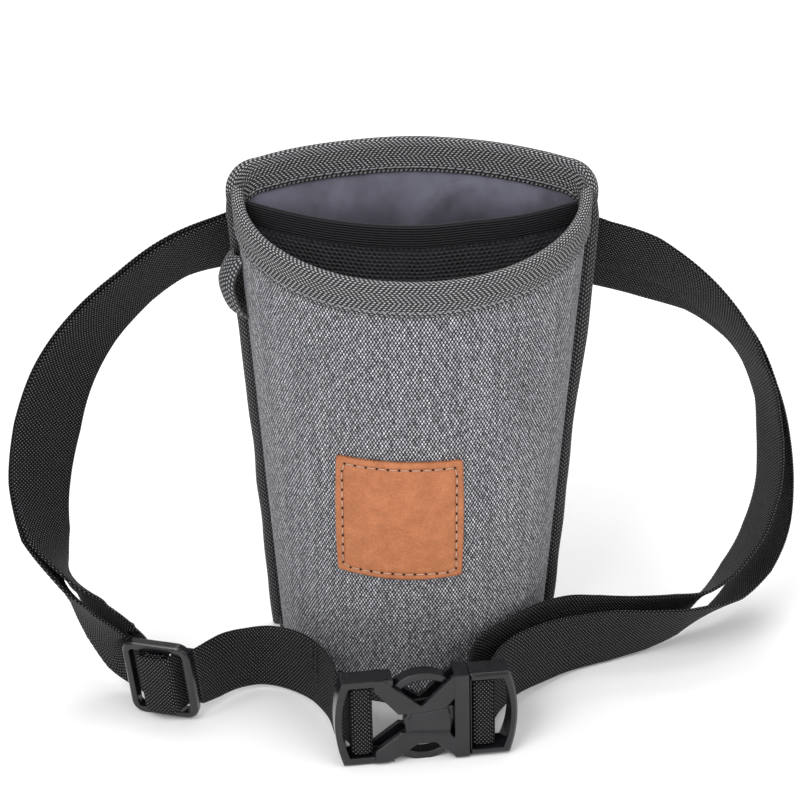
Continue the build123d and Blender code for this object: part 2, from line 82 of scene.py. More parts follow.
def add_camera():
    """Camera 900 mm from the middle of the pouch, 31 degrees above level."""
    target, distance, lift = Vector((0, 0, 0.095)), 0.9, radians(31)
    camera = bpy.data.objects.new("camera", bpy.data.cameras.new("camera"))
    bpy.context.scene.collection.objects.link(camera)
    camera.location = target + distance * Vector((0, -cos(lift), sin(lift)))
    camera.rotation_euler = (pi / 2 - lift, 0, 0)
    camera.data.sensor_width = 36.0
    camera.data.lens = 119.0
    camera.data.shift_x = -0.015
    camera.data.shift_y = -0.00625
    bpy.context.scene.camera = camera


def add_light(name, place, size, power):
    """Square area light at a place, turned to the pouch."""
    data = bpy.data.lights.new(name, "AREA")
    data.energy = power
    data.size = size
    light = bpy.data.objects.new(name, data)
    bpy.context.scene.collection.objects.link(light)
    light.location = place
    light.rotation_euler = (Vector((0, 0, 0.09)) - Vector(place)).to_track_quat("-Z", "Y").to_euler()


def add_studio():
    """Soft light, brightest overhead so that glossy edges catch it, and a pale floor."""
    add_light("key", (-0.7, -0.9, 1.3), 0.8, 13)
    add_light("fill", (1.0, -0.7, 0.9), 1.0, 5)
    add_light("top", (0.0, 0.5, 1.5), 1.0, 10)
    add_light("front", (0.0, -1.4, 0.35), 0.6, 2.6)
    world = bpy.data.worlds.new("studio")
    world.use_nodes = True
    sky = world.node_tree
    sky.nodes["Background"].inputs["Color"].default_value = (1, 1, 1, 1)
    place = sky.nodes.new("ShaderNodeTexCoord")
    height = sky.nodes.new("ShaderNodeSeparateXYZ")
    sky.links.new(place.outputs["Generated"], height.inputs["Vector"])
    glow = sky.nodes.new("ShaderNodeMapRange")
    glow.interpolation_type = "SMOOTHSTEP"
    sky.links.new(height.outputs["Z"], glow.inputs["Value"])
    for socket, value in (("From Min", 0.0), ("From Max", 0.75), ("To Min", 0.3), ("To Max", 0.7)):
        glow.inputs[socket].default_value = value
    sky.links.new(glow.outputs["Result"], sky.nodes["Background"].inputs["Strength"])
    bpy.context.scene.world = world
    bpy.context.scene.view_settings.view_transform = "Standard"
    side = 3.0
    mesh = bpy.data.meshes.new("floor")
    corners = [(-side, -side, 0), (side, -side, 0), (side, side, 0), (-side, side, 0)]
    mesh.from_pydata(corners, [], [(0, 1, 2, 3)])
    floor_piece = bpy.data.objects.new("floor", mesh)
    bpy.context.scene.collection.objects.link(floor_piece)
    material = bpy.data.materials.new("floor")
    material.use_nodes = True
    shader = material.node_tree.nodes["Principled BSDF"]
    shader.inputs["Base Color"].default_value = (0.96, 0.96, 0.96, 1)
    shader.inputs["Roughness"].default_value = 0.9
    mesh.materials.append(material)


# ---------------------------------------------------------------- materials

class Nodes:
    """A material's node tree, with short calls for the nodes used here."""

    def __init__(self, name, roughness, **constants):
        self.material = bpy.data.materials.new(name)
        self.material.use_nodes = True
        self.tree = self.material.node_tree
        self.shader = self.tree.nodes["Principled BSDF"]
        self.shader.inputs["Roughness"].default_value = roughness
        for key, value in constants.items():
            self.shader.inputs[key.replace("_", " ")].default_value = value

    def put(self, node, socket, value):
        """Link a socket's value, or set it where it is a constant."""
        if isinstance(value, bpy.types.NodeSocket):
            self.tree.links.new(value, node.inputs[socket])
        else:
            node.inputs[socket].default_value = value

    def place(self, scale=(1, 1, 1), turn=0.0, source="UV"):
        """Surface coordinates in millimetres, scaled and turned."""
        coordinates = self.tree.nodes.new("ShaderNodeTexCoord")
        mapping = self.tree.nodes.new("ShaderNodeMapping")
        self.put(mapping, "Vector", coordinates.outputs[source])
        self.put(mapping, "Scale", scale)
        self.put(mapping, "Rotation", (0, 0, turn))
        return mapping.outputs["Vector"]

    def height(self):
        """Height on the flat cloth, in millimetres."""
        node = self.tree.nodes.new("ShaderNodeSeparateXYZ")
        self.put(node, "Vector", self.place())
        return node.outputs["Y"]

    def noise(self, vector, scale, detail=4.0, rough=0.6):
        """Cloudy noise about 0.5."""
        node = self.tree.nodes.new("ShaderNodeTexNoise")
        self.put(node, "Vector", vector)
        self.put(node, "Scale", scale)
        self.put(node, "Detail", detail)
        self.put(node, "Roughness", rough)
        return node.outputs["Fac"]

    def bands(self, vector, pitch, direction="X", distortion=0.0):
        """Sine bands whose crests are one pitch apart."""
        node = self.tree.nodes.new("ShaderNodeTexWave")
        node.bands_direction = direction
        self.put(node, "Vector", vector)
        self.put(node, "Scale", 2 * pi / (20 * pitch))
        self.put(node, "Distortion", distortion)
        self.put(node, "Detail", 1.0)
        self.put(node, "Detail Scale", 2.0)
        return node.outputs["Fac"]

    def lattice(self, pitch, turn, distortion=0.5):
        """Rows of woven dots, where two sets of slanting bands cross."""
        rising = self.bands(self.place(turn=radians(turn)), pitch, "X", distortion)
        falling = self.bands(self.place(turn=radians(-turn)), pitch, "X", distortion)
        return self.math("MULTIPLY", rising, falling)

    def cells(self, vector, scale):
        """Distance to the nearest of scattered points."""
        node = self.tree.nodes.new("ShaderNodeTexVoronoi")
        self.put(node, "Vector", vector)
        self.put(node, "Scale", scale)
        return node.outputs["Distance"]

    def math(self, operation, a, b=0.0):
        """Sum, product and the like of two values."""
        node = self.tree.nodes.new("ShaderNodeMath")
        node.operation = operation
        self.put(node, 0, a)
        self.put(node, 1, b)
        return node.outputs[0]

    def spread(self, value, low, high, out_low=0.0, out_high=1.0):
        """Value stretched from one range to another."""
        node = self.tree.nodes.new("ShaderNodeMapRange")
        self.put(node, "Value", value)
        self.put(node, "From Min", low)
        self.put(node, "From Max", high)
        self.put(node, "To Min", out_low)
        self.put(node, "To Max", out_high)
        return node.outputs["Result"]

    def ramp(self, value, *stops):
        """Colour along stops of (position, colour)."""
        node = self.tree.nodes.new("ShaderNodeValToRGB")
        while len(node.color_ramp.elements) < len(stops):
            node.color_ramp.elements.new(0.5)
        for element, (position, colour) in zip(node.color_ramp.elements, stops):
            element.position = position
            element.color = (*colour, 1)
        self.put(node, "Fac", value)
        return node.outputs["Color"]

    def mix(self, factor, a, b, kind="MIX"):
        """Two colours mixed."""
        node = self.tree.nodes.new("ShaderNodeMix")
        node.data_type = "RGBA"
        node.blend_type = kind
        self.put(node, "Factor", factor)
        self.put(node, "A", (*a, 1) if isinstance(a, tuple) else a)
        self.put(node, "B", (*b, 1) if isinstance(b, tuple) else b)
        return node.outputs["Result"]

    def finish(self, colour, bump, strength, depth, roughness=None, edge=0.0):
        """Link the colour, bump and roughness; edge rounds sharp edges by that many millimetres."""
        self.put(self.shader, "Base Color", colour)
        if roughness is not None:
            self.put(self.shader, "Roughness", roughness)
        node = self.tree.nodes.new("ShaderNodeBump")
        self.put(node, "Strength", strength)
        self.put(node, "Distance", depth * MM)
        self.put(node, "Height", bump)
        if edge:
            bevel = self.tree.nodes.new("ShaderNodeBevel")
            bevel.samples = 8
            self.put(bevel, "Radius", edge * MM)
            self.put(node, "Normal", bevel.outputs["Normal"])
        self.put(self.shader, "Normal", node.outputs["Normal"])
        return self.material


def heather_fabric():
    """Plain-woven oxford: light and dark yarns in short diagonal runs, with faint vertical streaks."""
    m = Nodes("heather_fabric", 0.88, Sheen_Weight=0.06, Specular_IOR_Level=0.25)
    weave = m.lattice(0.97, 30, 0.25)
    yarns = m.noise(m.place((1.1, 0.35, 1), radians(28)), 1.0, 3.0, 0.8)
    flecks = m.noise(m.place((0.5, 1.9, 1)), 1.2, 2.0, 0.7)
    streaks = m.noise(m.place((0.28, 0.02, 1)), 1.0, 3.0, 0.6)
    mixed = m.math("ADD", m.math("MULTIPLY", yarns, 0.5), m.math("MULTIPLY", flecks, 0.5))
    mixed = m.math("ADD", mixed, m.math("MULTIPLY", m.math("SUBTRACT", streaks, 0.5), 0.12))
    colour = m.ramp(mixed, (0.34, (0.05, 0.051, 0.058)), (0.45, (0.23, 0.232, 0.252)),
                    (0.53, (0.57, 0.573, 0.61)), (0.61, (0.95, 0.955, 1.0)))
    shade = m.ramp(weave, (0.05, (0.008, 0.008, 0.010)), (0.25, (0.69, 0.69, 0.71)),
                   (0.44, (1.0, 1.0, 1.0)))
    colour = m.mix(1.0, colour, shade, "MULTIPLY")
    height = m.math("ADD", weave, m.math("MULTIPLY", flecks, 0.5))
    return m.finish(colour, height, 0.7, 0.35)


def twill_tape(name, dark, light):
    """Binding tape with a herringbone twill."""
    m = Nodes(name, 0.82, Sheen_Weight=0.05, Specular_IOR_Level=0.25)
    up = m.bands(m.place(turn=radians(40)), 1.25, "X", 0.4)
    down = m.bands(m.place(turn=radians(-40)), 1.25, "X", 0.4)
    rows = m.spread(m.bands(m.place(), 6.5, "Y"), 0.45, 0.55)
    twill = m.math("ADD", m.math("MULTIPLY", up, rows),
                   m.math("MULTIPLY", down, m.math("SUBTRACT", 1.0, rows)))
    yarns = m.bands(m.place(), 0.75, "Y", 0.8)
    fine = m.noise(m.place((2.2, 1.2, 1)), 1.3, 3.0, 0.7)
    tone = m.math("ADD", m.math("MULTIPLY", m.math("MULTIPLY", twill, yarns), 0.55),
                  m.math("MULTIPLY", fine, 0.45))
    colour = m.ramp(tone, (0.20, dark), (0.44, tuple(0.18 * c for c in light)), (0.68, light))
    return m.finish(colour, m.math("ADD", twill, fine), 0.8, 0.3)


def webbing_weave():
    """Near-black webbing: slanting threads that cross, painted paler on their crests as painted highlights
    and near black between them as painted shade, with a little fuzz.
    """
    m = Nodes("belt_webbing", 0.72, Specular_IOR_Level=0.15)
    threads_and_painted_light = m.lattice(0.95, 40, 0.6)
    fuzz = m.noise(m.place((1.5, 1.5, 1)), 1.6, 4.0, 0.7)
    tone = m.math("ADD", m.math("MULTIPLY", threads_and_painted_light, 0.62), m.math("MULTIPLY", fuzz, 0.38))
    # Painted highlights and shade: the colour is paler where the slanting threads cross and near black
    # between them.
    colour = m.ramp(tone, (0.25, (0.001, 0.001, 0.0012)), (0.48, (0.008, 0.008, 0.009)),
                    (0.82, (0.19, 0.19, 0.20)))
    height = m.math("ADD", threads_and_painted_light, m.math("MULTIPLY", fuzz, 0.4))
    return m.finish(colour, height, 0.7, 0.3, m.spread(fuzz, 0.3, 0.7, 0.62, 0.82))


def elastic_weave():
    """Ribbed elastic: fine lengthwise ribs with a little fuzz; the ribs are bumps and also painted light
    and shade, with paler crests and darker grooves in the colour.
    """
    m = Nodes("elastic_band", 0.7, Specular_IOR_Level=0.2)
    cross = m.bands(m.place(), 0.7, "X", 0.6)
    ribs = m.bands(m.place(), ELASTIC_TALL / 9, "Y")
    fuzz = m.noise(m.place((1.5, 3, 1)), 1.2, 3.0, 0.7)
    # Painted light and shade: the colour follows the ribs, pale on their crests and near black between
    # them.
    colour = m.ramp(m.math("ADD", m.math("MULTIPLY", ribs, 0.5), m.math("MULTIPLY", fuzz, 0.5)),
                    (0.25, (0.003, 0.003, 0.0035)), (0.80, (0.060, 0.060, 0.066)))
    height = m.math("ADD", ribs, m.math("MULTIPLY", cross, 0.2))
    return m.finish(colour, height, 0.8, 0.3, m.spread(fuzz, 0.3, 0.7, 0.55, 0.8))


def smooth_cloth(name, colour, pitch, painted_shade_heights):
    """Thin plain-woven cloth with a slight sheen and soft creases, which are bumps and also painted light
    and shade in the colour; the colour darkens down from the painted shade heights, as painted shade.
    """
    m = Nodes(name, 0.55, Sheen_Weight=0.1, Specular_IOR_Level=0.3)
    warp = m.bands(m.place(), pitch, "X", 0.4)
    weft = m.bands(m.place(), pitch, "Y", 0.4)
    weave = m.math("MAXIMUM", warp, weft)
    crease = m.noise(m.place((0.045, 0.03, 1), radians(25)), 1.0, 4.0, 0.55)
    # The crease noise sets the bump and also the colour, from dark to light: painted light and shade of
    # the folds.
    tone = m.math("ADD", m.math("MULTIPLY", weave, 0.3), m.math("MULTIPLY", crease, 0.7))
    dark = tuple(0.32 * c for c in colour)
    light = tuple(1.9 * c for c in colour)
    # Painted shade: the colour is multiplied darker, down to a quarter, below the given heights.
    deep = m.ramp(m.spread(m.height(), *painted_shade_heights), (0.0, (0.25, 0.25, 0.25)), (1.0, (1.0, 1.0, 1.0)))
    shade = m.mix(1.0, m.ramp(tone, (0.36, dark), (0.64, light)), deep, "MULTIPLY")
    return m.finish(shade, m.math("ADD", m.math("MULTIPLY", weave, 0.2), crease), 0.7, 1.2,
                    m.spread(crease, 0.3, 0.7, 0.48, 0.66))


def plain_thread(name, colour):
    """Twisted thread, in a colour that is also its palest tone."""
    m = Nodes(name, 0.6, Specular_IOR_Level=0.2)
    twist = m.bands(m.place(source="Object", scale=(1000, 1000, 1000), turn=radians(35)), 0.35, "X")
    fuzz = m.noise(m.place(source="Object", scale=(1000, 1000, 1000)), 2.0, 2.0)
    dark = tuple(0.55 * c for c in colour)
    shade = m.ramp(m.math("ADD", m.math("MULTIPLY", twist, 0.5), m.math("MULTIPLY", fuzz, 0.5)),
                   (0.3, dark), (0.8, colour))
    return m.finish(shade, twist, 0.5, 0.1)


def leather():
    """Tan vegetable-tanned leather: fine grain, pores and cloudy colour."""
    m = Nodes("patch_leather", 0.5, Specular_IOR_Level=0.35)
    grain = m.cells(m.place(), 1.9)
    pores = m.noise(m.place(), 1.4, 4.0, 0.8)
    clouds = m.noise(m.place(), 0.16, 5.0, 0.7)
    tone = m.math("ADD", m.math("MULTIPLY", clouds, 0.45), m.math("MULTIPLY", pores, 0.55))
    colour = m.ramp(tone, (0.33, (0.30, 0.095, 0.032)), (0.50, (0.43, 0.150, 0.058)),
                    (0.67, (0.58, 0.225, 0.100)))
    height = m.math("ADD", m.math("MULTIPLY", grain, 0.8), m.math("MULTIPLY", pores, 0.6))
    return m.finish(colour, height, 0.55, 0.25, m.spread(clouds, 0.3, 0.7, 0.40, 0.58))


def plastic():
    """Black satin plastic with a fine moulded texture and softened edges."""
    m = Nodes("hardware_plastic", 0.25, Specular_IOR_Level=0.5)
    place = m.place(source="Object", scale=(1000, 1000, 1000))
    fine = m.noise(place, 3.0, 3.0, 0.6)
    broad = m.noise(place, 0.12, 3.0, 0.6)
    colour = m.ramp(broad, (0.3, (0.004, 0.004, 0.005)), (0.75, (0.012, 0.012, 0.015)))
    return m.finish(colour, fine, 0.18, 0.06, m.spread(broad, 0.3, 0.7, 0.15, 0.27), edge=0.8)


def make_materials():
    """Every finish by name."""
    return {
        "shell_fabric": heather_fabric(),
        "binding_tape": twill_tape("binding_tape", (0.004, 0.004, 0.005), (0.56, 0.565, 0.58)),
        "seam_tape": twill_tape("seam_tape", (0.008, 0.008, 0.010), (0.24, 0.243, 0.25)),
        # The last argument gives the heights below which the colour darkens as painted shade; on the
        # lining it stands for the shade low inside the pouch.
        "lining_nylon": smooth_cloth("lining_nylon", (0.128, 0.125, 0.164), 0.35, (148, 166)),
        "base_stiffener": smooth_cloth("base_stiffener", (0.05, 0.05, 0.06), 0.5, (-2, -1)),
        "mesh_net": plain_thread("mesh_net", (0.070, 0.070, 0.074)),
        "elastic_band": elastic_weave(),
        "patch_leather": leather(),
        "patch_thread": plain_thread("patch_thread", (0.66, 0.40, 0.28)),
        "belt_thread": plain_thread("belt_thread", (0.03, 0.03, 0.033)),
        # Near-black beads at the stitch ends: painted shade for the holes in the leather.
        "stitch_hole_shade": plain_thread("stitch_hole_shade", (0.018, 0.010, 0.008)),
        "tab_webbing": twill_tape("tab_webbing", (0.010, 0.011, 0.012), (0.46, 0.465, 0.48)),
        "belt_webbing": webbing_weave(),
        "hardware_plastic": plastic(),
        "tape_thread": plain_thread("tape_thread", (0.30, 0.305, 0.32)),
    }


# ---------------------------------------------------------------- meshes


def add_piece(name, points, faces, finish, body="root", replaces=(), uv=None):
    """Mesh from points in millimetres; uv holds each face corner's place on the flat cloth.

    With no body, the piece is left unattached.
    """
    mesh = bpy.data.meshes.new(name)
    mesh.from_pydata([tuple(c * MM for c in p) for p in points], [], faces)
    if uv is not None:
        layer = mesh.uv_layers.new(name="flat")
        layer.data.foreach_set("uv", [c for corner in uv for c in corner])
    mesh.polygons.foreach_set("use_smooth", [True] * len(mesh.polygons))
    mesh.materials.append(MATERIALS[finish])
    mesh.validate()
    piece = bpy.data.objects.new(name, mesh)
    bpy.context.scene.collection.objects.link(piece)
    if body:
        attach(piece, body)
    if replaces:
        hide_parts(*replaces)
    return piece


def tube_of_loops(loops, lengths, widths):
    """Points, faces and flat coordinates of a closed skin through equal loops, with flat ends."""
    count = len(loops[0])
    points = [p for loop in loops for p in loop]
    faces, uv = [], []
    for i in range(len(loops) - 1):
        for j in range(count):
            k = (j + 1) % count
            faces.append((i * count + j, i * count + k, (i + 1) * count + k, (i + 1) * count + j))
            for row, column in ((i, j), (i, j + 1), (i + 1, j + 1), (i + 1, j)):
                uv.append((lengths[row], widths[column]))
    for row, order in ((0, range(count - 1, -1, -1)), (len(loops) - 1, range(count))):
        faces.append(tuple(row * count + j for j in order))
        uv += [(lengths[row], widths[j]) for j in order]
    return points, faces, uv


def spline(points, i, t):
    """Point between points i and i + 1 on a smooth curve through them all."""
    b, c = points[i], points[i + 1]
    a = points[i - 1] if i else b + (b - c)
    d = points[i + 2] if i + 2 < len(points) else c + (c - b)
    square, cube = 2 * a - 5 * b + 4 * c - d, 3 * b - a - 3 * c + d
    return 0.5 * (2 * b + (c - a) * t + square * t * t + cube * t ** 3)


def smooth_run(stations, step):
    """Centres and leans at even distances along the smooth curve through stations."""
    centres = [Vector(s[0]) for s in stations]
    leans = [Vector(s[1]).normalized() for s in stations]
    fine, travelled = [], 0.0
    for i in range(len(stations) - 1):
        for k in range(40):
            fine.append((spline(centres, i, k / 40), leans[i].lerp(leans[i + 1], k / 40)))
    fine.append((centres[-1], leans[-1]))
    distances = [0.0]
    for a, b in zip(fine, fine[1:]):
        travelled += (b[0] - a[0]).length
        distances.append(travelled)
    count = max(2, round(travelled / step))
    rows, k = [], 0
    for n in range(count + 1):
        want = travelled * n / count
        while k < len(fine) - 2 and distances[k + 1] < want:
            k += 1
        share = (want - distances[k]) / max(distances[k + 1] - distances[k], TINY)
        rows.append((fine[k][0].lerp(fine[k + 1][0], share), fine[k][1].lerp(fine[k + 1][1], share), want))
    return rows


def webbing(name, stations, body, replaces=()):
    """Ribbed webbing along a route; its edges are rounded and its ribs are real."""
    rows = smooth_run(stations, RIB / 4)
    half, thick, rib = WEB_WIDTH / 2, WEB / 2, RIB_HEIGHT
    edge = [(-half + 0.15, 0.25), (-half, 0.0), (-half + 0.15, -0.25)]
    across = [-half + 0.7 + (2 * half - 1.4) * k / 10 for k in range(11)]
    loops, lengths = [], []
    for i, (centre, lean, distance) in enumerate(rows):
        ahead = rows[min(i + 1, len(rows) - 1)][0]
        behind = rows[max(i - 1, 0)][0]
        run = (ahead - behind).normalized()
        face = lean.cross(run).normalized()
        up = lean.lerp(run.cross(face), min(1.0, distance / SETTLE, (rows[-1][2] - distance) / SETTLE))
        wave = rib * abs(cos(pi * distance / RIB))
        drift = 0.25 * noise.noise(Vector((distance * 0.03, len(name), 1.7)))
        profile = [(x, thick - rib + wave) for x in across]
        profile += [(-x, y) for x, y in edge]
        profile += [(x, -thick + rib - wave) for x in reversed(across)]
        profile += [(x, -y) for x, y in edge]
        loops.append([centre + up * (x + drift) + face * y for x, y in profile])
        lengths.append(distance)
    widths = [abs(x) if x > half else x for x, _ in profile] + [profile[0][0]]
    points, faces, uv = tube_of_loops(loops, lengths, widths)
    return add_piece(name, points, faces, "belt_webbing", body, replaces, uv)


def shell(name, outer, inner, across, up, finish, replaces=()):
    """Closed sheet between two surfaces, each a function of (share across, share up) in 0 to 1."""
    points, flat = [], []
    for surface in (outer, inner):
        for i in range(up + 1):
            travelled = 0.0
            last = None
            for j in range(across + 1):
                p = Vector(surface(j / across, i / up))
                if last is not None:
                    travelled += (p - last).length
                last = p
                points.append(p)
                flat.append(travelled)
    size = (across + 1) * (up + 1)
    middle = [flat[i * (across + 1) + across] / 2 for i in range(2 * (up + 1))]
    spot = [(flat[n] - middle[n // (across + 1)], points[n].z) for n in range(2 * size)]
    faces = []
    for i in range(up):
        for j in range(across):
            a = i * (across + 1) + j
            b = a + across + 1
            faces.append((a, a + 1, b + 1, b))
            faces.append((a + size, b + size, b + 1 + size, a + 1 + size))
    border = list(range(across))
    border += [i * (across + 1) + across for i in range(up)]
    border += [up * (across + 1) + j for j in range(across, 0, -1)]
    border += [i * (across + 1) for i in range(up, 0, -1)]
    for n, a in enumerate(border):
        b = border[(n + 1) % len(border)]
        faces.append((a, a + size, b + size, b))
    uv = [spot[v] for face in faces for v in face]
    return add_piece(name, points, faces, finish, "root", replaces, uv)


def stitch_row(name, path, out, length, pitch, radius, finish, replaces=(), shift=0.5):
    """Row of thread stitches, each a small rounded bead lying along a path of points."""
    rows = smooth_run(list(zip(path, out)), pitch)
    points, faces = [], []
    rings, sides = [(-0.5, 0.3), (-0.38, 0.9), (0.0, 1.15), (0.38, 0.9), (0.5, 0.3)], 6
    for i in range(len(rows) - 1):
        centre = rows[i][0].lerp(rows[i + 1][0], shift)
        run = (rows[i + 1][0] - rows[i][0]).normalized()
        lift = rows[i][1].normalized()
        side = run.cross(lift).normalized()
        base = len(points)
        for along, size in rings:
            for k in range(sides):
                turn = 2 * pi * k / sides
                points.append(centre + run * along * length + lift * radius * size * cos(turn)
                              + side * radius * size * sin(turn))
        for r in range(len(rings) - 1):
            for k in range(sides):
                n = (k + 1) % sides
                a, b = base + sides * r, base + sides * (r + 1)
                faces.append((a + k, a + n, b + n, b + k))
        faces.append(tuple(base + k for k in reversed(range(sides))))
        faces.append(tuple(base + sides * (len(rings) - 1) + k for k in range(sides)))
    return add_piece(name, points, faces, finish, "root", replaces)


# ---------------------------------------------------------------- the pouch's shape

def at_height(base, mouth, z):
    """Size at a height, between its sizes at the base and at the mouth."""
    return base + (mouth - base) * z / RIM_Z


def half_width(z):
    """Half the pouch's width at a height."""
    return at_height(BASE_HALF, MOUTH_HALF, z)


def bulge(side, z):
    """How far the front (side -1) or the back (1) stands out at a height."""
    return at_height(FRONT_BASE, FRONT_MOUTH, z) if side < 0 else at_height(BACK_BASE, BACK_MOUTH, z)


def rumple(side, angle, z):
    """Soft unevenness of the cloth, in millimetres outwards."""
    slow = noise.noise(Vector((3.1 * side + 1.4 * angle, 0.011 * z, 4.2)))
    quick = noise.noise(Vector((2.9 * angle, 0.035 * z, 7.7 + side)))
    return (0.9 * slow + 0.35 * quick) * sin(angle)


def on_wall(side, angle, z, depth):
    """Point on the pouch's wall; the angle runs from the left seam (0) to the right (pi).

    The back flares a little at its upper corners.
    """
    soft = rumple(side, angle, z)
    flare = 2.2 * max(0.0, (z - 140) / 33) ** 1.5 * cos(angle) ** 2 if side > 0 else 0.0
    width = half_width(z) - depth + 0.4 * soft + flare
    reach = bulge(side, z) - depth + soft
    return (-width * cos(angle), side * (GAP + reach * sin(angle)), z)


def crease(side, angle, z):
    """Soft folds of the loose lining, in millimetres inwards."""
    lean = 0.9 * angle * 36 - 0.35 * z
    broad = noise.noise(Vector((0.06 * lean, 0.016 * z, 5.1 + side)))
    sharp = 1 - abs(noise.noise(Vector((0.045 * lean, 0.02 * z, 8.3 + side))))
    return max(0.0, 2.6 * broad + 7.0 * max(0.0, sharp - 0.78)) * sin(angle)


def front_rim(angle):
    """Height of the front rim, lower towards the middle."""
    return RIM_Z - FRONT_DIP * sin(angle)


def back_rim(angle):
    """Height of the back rim: crowned, with rounded corners that are alike on both sides."""
    x = abs(MOUTH_HALF * cos(angle))
    if x < BACK_CORNER_X:
        return BACK_CROWN_Z - (BACK_CROWN_Z - BACK_CORNER_Z) * (x / BACK_CORNER_X) ** 2
    share = min(1.0, (x - BACK_CORNER_X) / (MOUTH_HALF - BACK_CORNER_X))
    return BACK_CORNER_Z - (BACK_CORNER_Z - RIM_Z + 2) * (1 - sqrt(1 - share * share))


def even_angle(side, share):
    """Angle at a share of the half ellipse's length, so that columns are about even."""
    if side not in EVEN:
        squash = bulge(side, RIM_Z / 2) / half_width(RIM_Z / 2)
        EVEN[side] = [0.0]
        for k in range(EVEN_STEPS):
            a = pi * (k + 0.5) / EVEN_STEPS
            EVEN[side].append(EVEN[side][-1] + hypot(sin(a), squash * cos(a)))
    table = EVEN[side]
    want = share * table[-1]
    low, high = 0, EVEN_STEPS
    while high - low > 1:
        middle = (low + high) // 2
        low, high = (middle, high) if table[middle] <= want else (low, middle)
    return pi * (low + (want - table[low]) / max(table[high] - table[low], TINY)) / EVEN_STEPS


EVEN, EVEN_STEPS = {}, 400


def build_walls():
    """Outer cloth and lining of the front and the back."""
    for name, side, rim in (("front", -1, front_rim), ("back", 1, back_rim)):
        def surface(depth, low, drop, side=side, rim=rim):
            def place(share, rise):
                angle = even_angle(side, share)
                z = low + (rim(angle) - drop - low) * rise
                loose = min(1.0, max(0.0, (rim(angle) - TAPE_WIDTH - z) / 5)) if depth > PANEL else 0.0
                return on_wall(side, angle, z, depth + loose * crease(side, angle, z))
            return place

        cloth = shell(
            f"{name}_cloth", surface(0, FLOOR, 0.3), surface(PANEL, FLOOR, 0.3), 150, 110,
            "shell_fabric", [f"{name}_panel"])
        lining = shell(
            f"{name}_lining_cloth", surface(LINING_OUT, 4, 0.5), surface(LINING_IN, 4, 0.5), 120, 90,
            "lining_nylon", [f"{name}_lining"])


def build_rim(name, side, rim, replaces):
    """Tape folded over a rim, and its row of stitches on the outside and the inside."""
    deep = LINING_IN + GAP + TAPE
    outside, inside = -GAP - TAPE, deep
    top = GAP + TAPE
    flat = TAPE_WIDTH - 1.2
    profile = [(outside, -TAPE_WIDTH)]
    profile += [(outside, -TAPE_WIDTH + flat * k / 6) for k in range(1, 7)]
    middle, half = (outside + inside) / 2, (inside - outside) / 2
    for k in range(1, 8):
        turn = pi * k / 8
        profile.append((middle - half * cos(turn), -0.9 + (top + 0.9) * sin(turn)))
    profile += [(inside, -1.2 - flat * k / 6) for k in range(7)]
    profile += [(inside - TAPE, -TAPE_WIDTH), (inside - TAPE, -1.0), (middle, -0.15)]
    profile += [(outside + TAPE, -1.0), (outside + TAPE, -TAPE_WIDTH)]
    widths = [0.0]
    for a, b in zip(profile, profile[1:] + profile[:1]):
        widths.append(widths[-1] + hypot(b[0] - a[0], b[1] - a[1]))
    count = 260
    loops, lengths = [], []
    for i in range(count + 1):
        angle = even_angle(side, 0.5 - 0.5 * cos(pi * i / count) if side > 0 else i / count)
        loop = []
        for depth, rise in profile:
            pucker = 0.16 * sin(2 * pi * i / 4.0) * (1 if depth == outside and rise < -8 else 0)
            loop.append(Vector(on_wall(side, angle, rim(angle) + rise, depth - pucker)))
        lengths.append(lengths[-1] + (loop[0] - loops[-1][0]).length if loops else 0.0)
        loops.append(loop)
    if side > 0:
        loops = [list(reversed(loop)) for loop in loops]
        widths = list(reversed(widths))
    points, faces, uv = tube_of_loops(loops, lengths, widths)
    add_piece(f"{name}_rim_tape", points, faces, "binding_tape", "root", replaces, uv)
    for label, depth, way in (("outer", outside - 0.05, 1), ("inner", inside + 0.05, -1)):
        path, out = [], []
        for i in range(3, 78):
            angle = even_angle(side, i / 80)
            path.append(Vector(on_wall(side, angle, rim(angle) - TAPE_WIDTH + 1.6, depth)))
            out.append(Vector((-cos(angle), side * sin(angle), 0)) * way)
        stitch_row(f"{name}_rim_stitches_{label}", path, out, 2.0, 2.9, 0.28, "tape_thread")


def build_side_seams():
    """Bound side seams: narrow dark tape standing off each side, bulging a little near the rim."""
    for name, hand in (("left", -1), ("right", 1)):
        loops, lengths = [], []
        for i in range(91):
            z = 0.3 + (RIM_Z - 1.8) * i / 90
            lump = 0.7 * noise.noise(Vector((0.05 * z, 3.0 * hand, 0.5)))
            puff = 1.2 * max(0.0, sin(pi * (z - 95) / 70)) if hand > 0 and 95 < z < 165 else 0.0
            base = half_width(z)
            tuck = min(1.0, max(0.05, (RIM_Z - z) / 9)) ** 0.5
            wide = (SEAM_WIDTH + puff + lump) * tuck + 0.9 * (1 - tuck)
            thick = SEAM_THICK / 2 * (0.6 + 0.4 * tuck)
            loop = [(0.15, -thick), (0.55 * wide, -thick), (0.85 * wide, -0.8 * thick), (wide, 0),
                    (0.85 * wide, 0.8 * thick), (0.55 * wide, thick), (0.15, thick)]
            loops.append([Vector((hand * (base + x), y, z)) for x, y in loop])
            lengths.append(z)
        if hand < 0:
            loops = [list(reversed(loop)) for loop in loops]
        points, faces, uv = tube_of_loops(loops, lengths, [0, 2, 3.4, 4.4, 5.4, 6.8, 9, 12])
        add_piece(f"{name}_seam_tape", points, faces, "seam_tape", "root", [f"side_binding_{name}"], uv)


